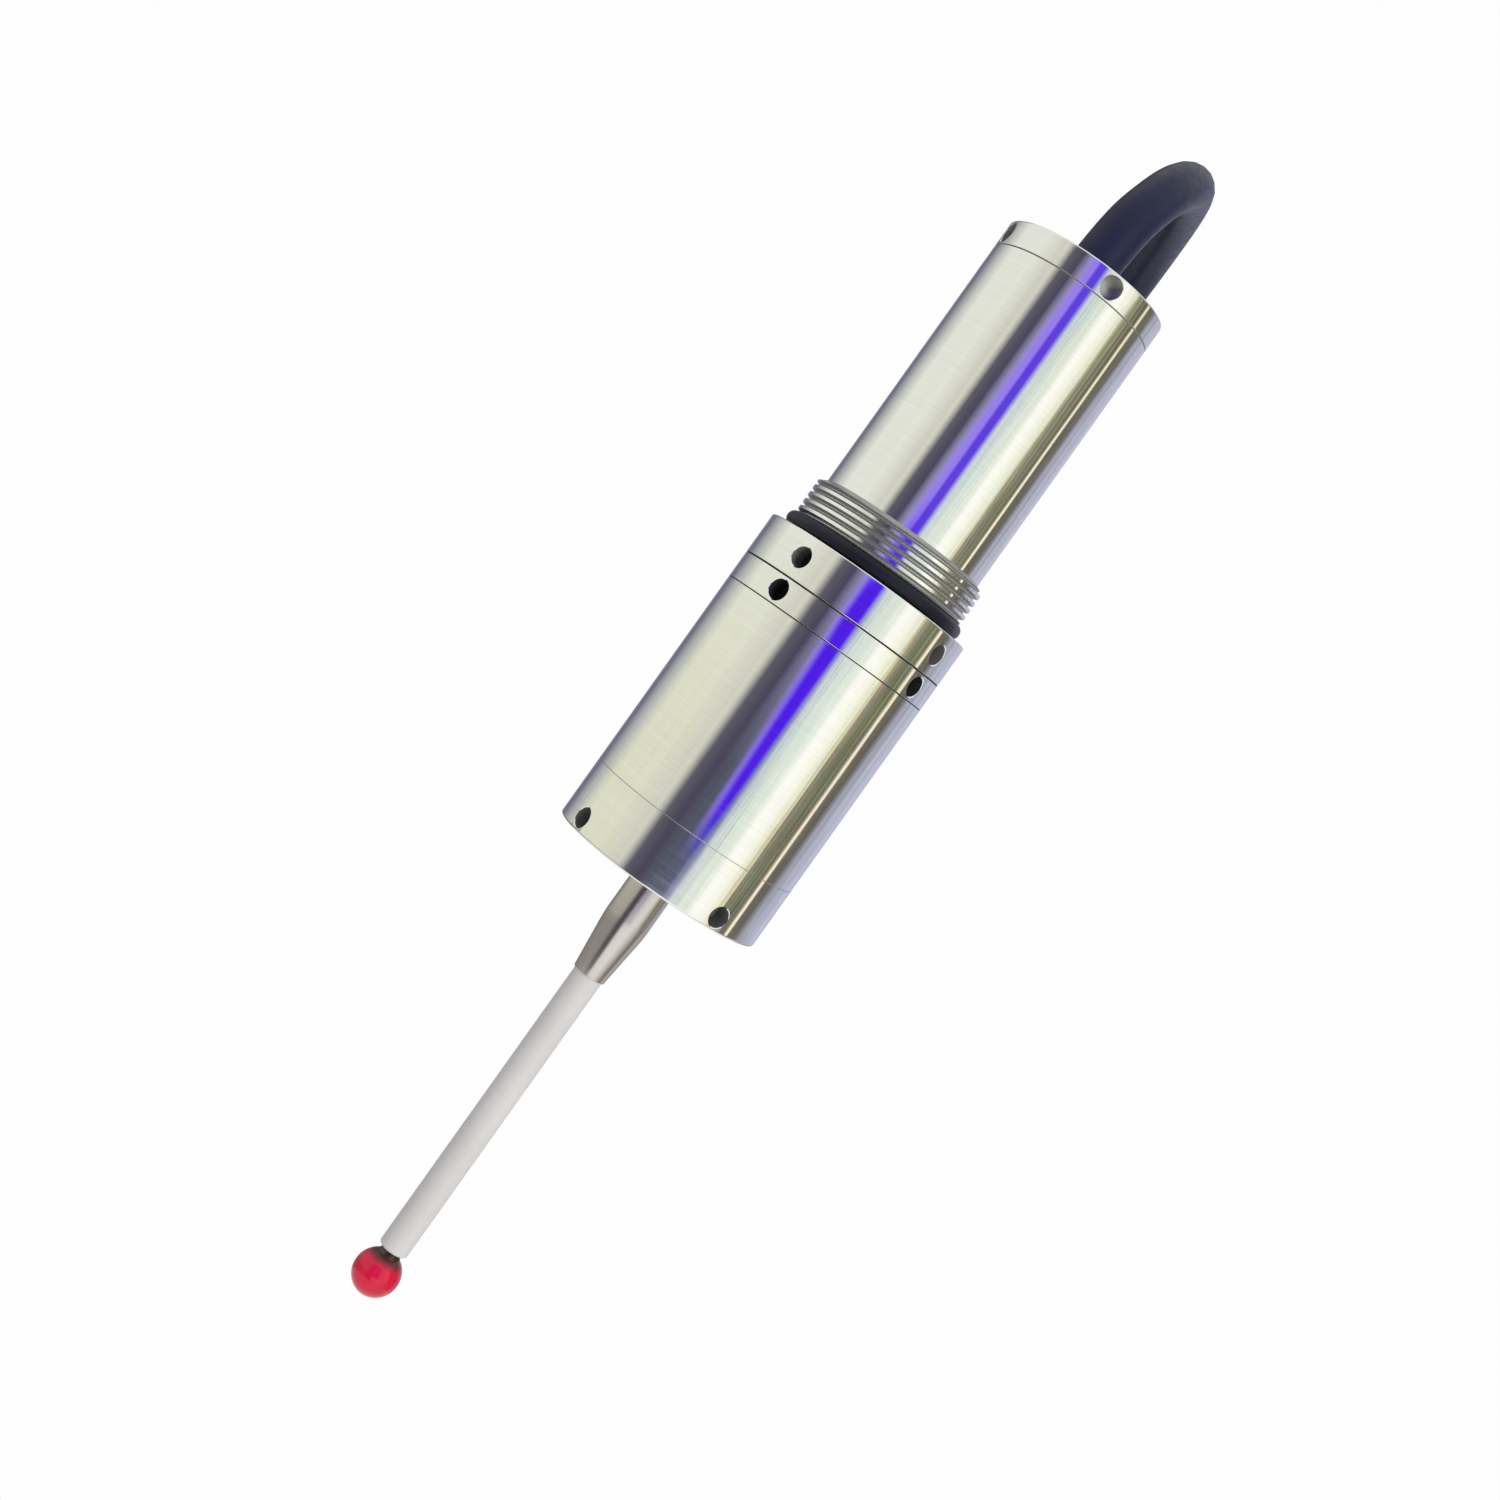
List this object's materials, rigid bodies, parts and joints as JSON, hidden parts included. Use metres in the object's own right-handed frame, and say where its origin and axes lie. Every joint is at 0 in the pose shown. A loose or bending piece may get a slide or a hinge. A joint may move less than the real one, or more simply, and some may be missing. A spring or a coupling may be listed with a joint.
{
  "type": "touch probe",
  "caption": "Wired touch probe: turned steel body with a threaded mount and seal, a ball-tipped stylus on a sprung kinematic seat, and a cable tied in a hank with a round plug.",
  "frame": {"origin": "on the probe's axis, in the middle of the mounting thread", "axes": "+Z along the axis towards the cable end, so the stylus points down; -Y towards the picture's camera; the cable's hank hangs behind, on +Y"},
  "size_m": [0.028, 0.0991, 0.1756],
  "materials": {
    "turned_steel": "fine turned and polished",
    "inner_steel": "turned",
    "hardened_steel": "ground and polished",
    "spring_steel": "drawn wire",
    "insulator": "moulded",
    "seal_rubber": "smooth",
    "grommet_rubber": "matt",
    "ferrule_steel": "turned, unpolished",
    "pin_steel": "oxidised, dark brown",
    "stem_ceramic": "ground, satin",
    "ruby": "polished, synthetic ruby",
    "board": "solder mask",
    "chip": "moulded",
    "contact_brass": "drawn",
    "core_insulation": "extruded",
    "cable_jacket": "satin, smooth",
    "tie_strap": "woven strap",
    "plug_grip": "moulded",
    "plug_metal": "plated"
  },
  "bodies": {
    "housing": {"rear_tube": "turned_steel", "mounting_seal": "seal_rubber", "lock_ring": "turned_steel", "clamp_ring": "turned_steel", "main_sleeve": "turned_steel", "front_cap": "turned_steel", "rear_cap": "turned_steel", "seat_ring": "insulator", "seat_balls": "hardened_steel", "spacer_tube": "inner_steel", "spring_guide": "inner_steel", "preload_spring": "spring_steel", "diaphragm_seal": "seal_rubber", "board_carrier": "insulator", "circuit_board": "board", "board_chips": "chip", "contact_wires": "contact_brass", "cable_cores": "core_insulation", "cable_grommet": "grommet_rubber", "cable_crimp": "contact_brass", "cable_lead": "cable_jacket", "cable_hank": "cable_jacket", "hank_tie": "tie_strap", "cable_tail": "cable_jacket", "plug_body": "plug_grip", "plug_shell": "plug_metal", "plug_insert": "insulator", "plug_pins": "contact_brass"},
    "plunger": {"spring_plunger": "inner_steel"},
    "swivel_ball": {"pressure_ball": "hardened_steel"},
    "stylus": {"tripod_hub": "inner_steel", "contact_rods": "hardened_steel", "stylus_ferrule": "ferrule_steel", "stylus_stem": "stem_ceramic", "ball_pin": "pin_steel", "ruby_ball": "ruby"}
  },
  "joints": [
    {"name": "seat_lift", "type": "slide", "parent": "housing", "child": "plunger", "axis": [0, 0, 1], "range_m": [0, 0.004], "stiffness_N_per_m": 500, "springref_m": -0.004, "deforming": ["preload_spring", "diaphragm_seal"]},
    {"name": "tilt_x", "type": "hinge", "parent": "plunger", "child": "swivel_ball", "pos_m": [0, 0, -0.031], "axis": [1, 0, 0], "range_deg": [-8.5, 8.5], "stiffness_Nm_per_rad": 0.4, "deforming": ["diaphragm_seal"]},
    {"name": "tilt_y", "type": "hinge", "parent": "swivel_ball", "child": "stylus", "pos_m": [0, 0, -0.031], "axis": [0, 1, 0], "range_deg": [-8.5, 8.5], "stiffness_Nm_per_rad": 0.4, "deforming": ["diaphragm_seal"]}
  ]
}
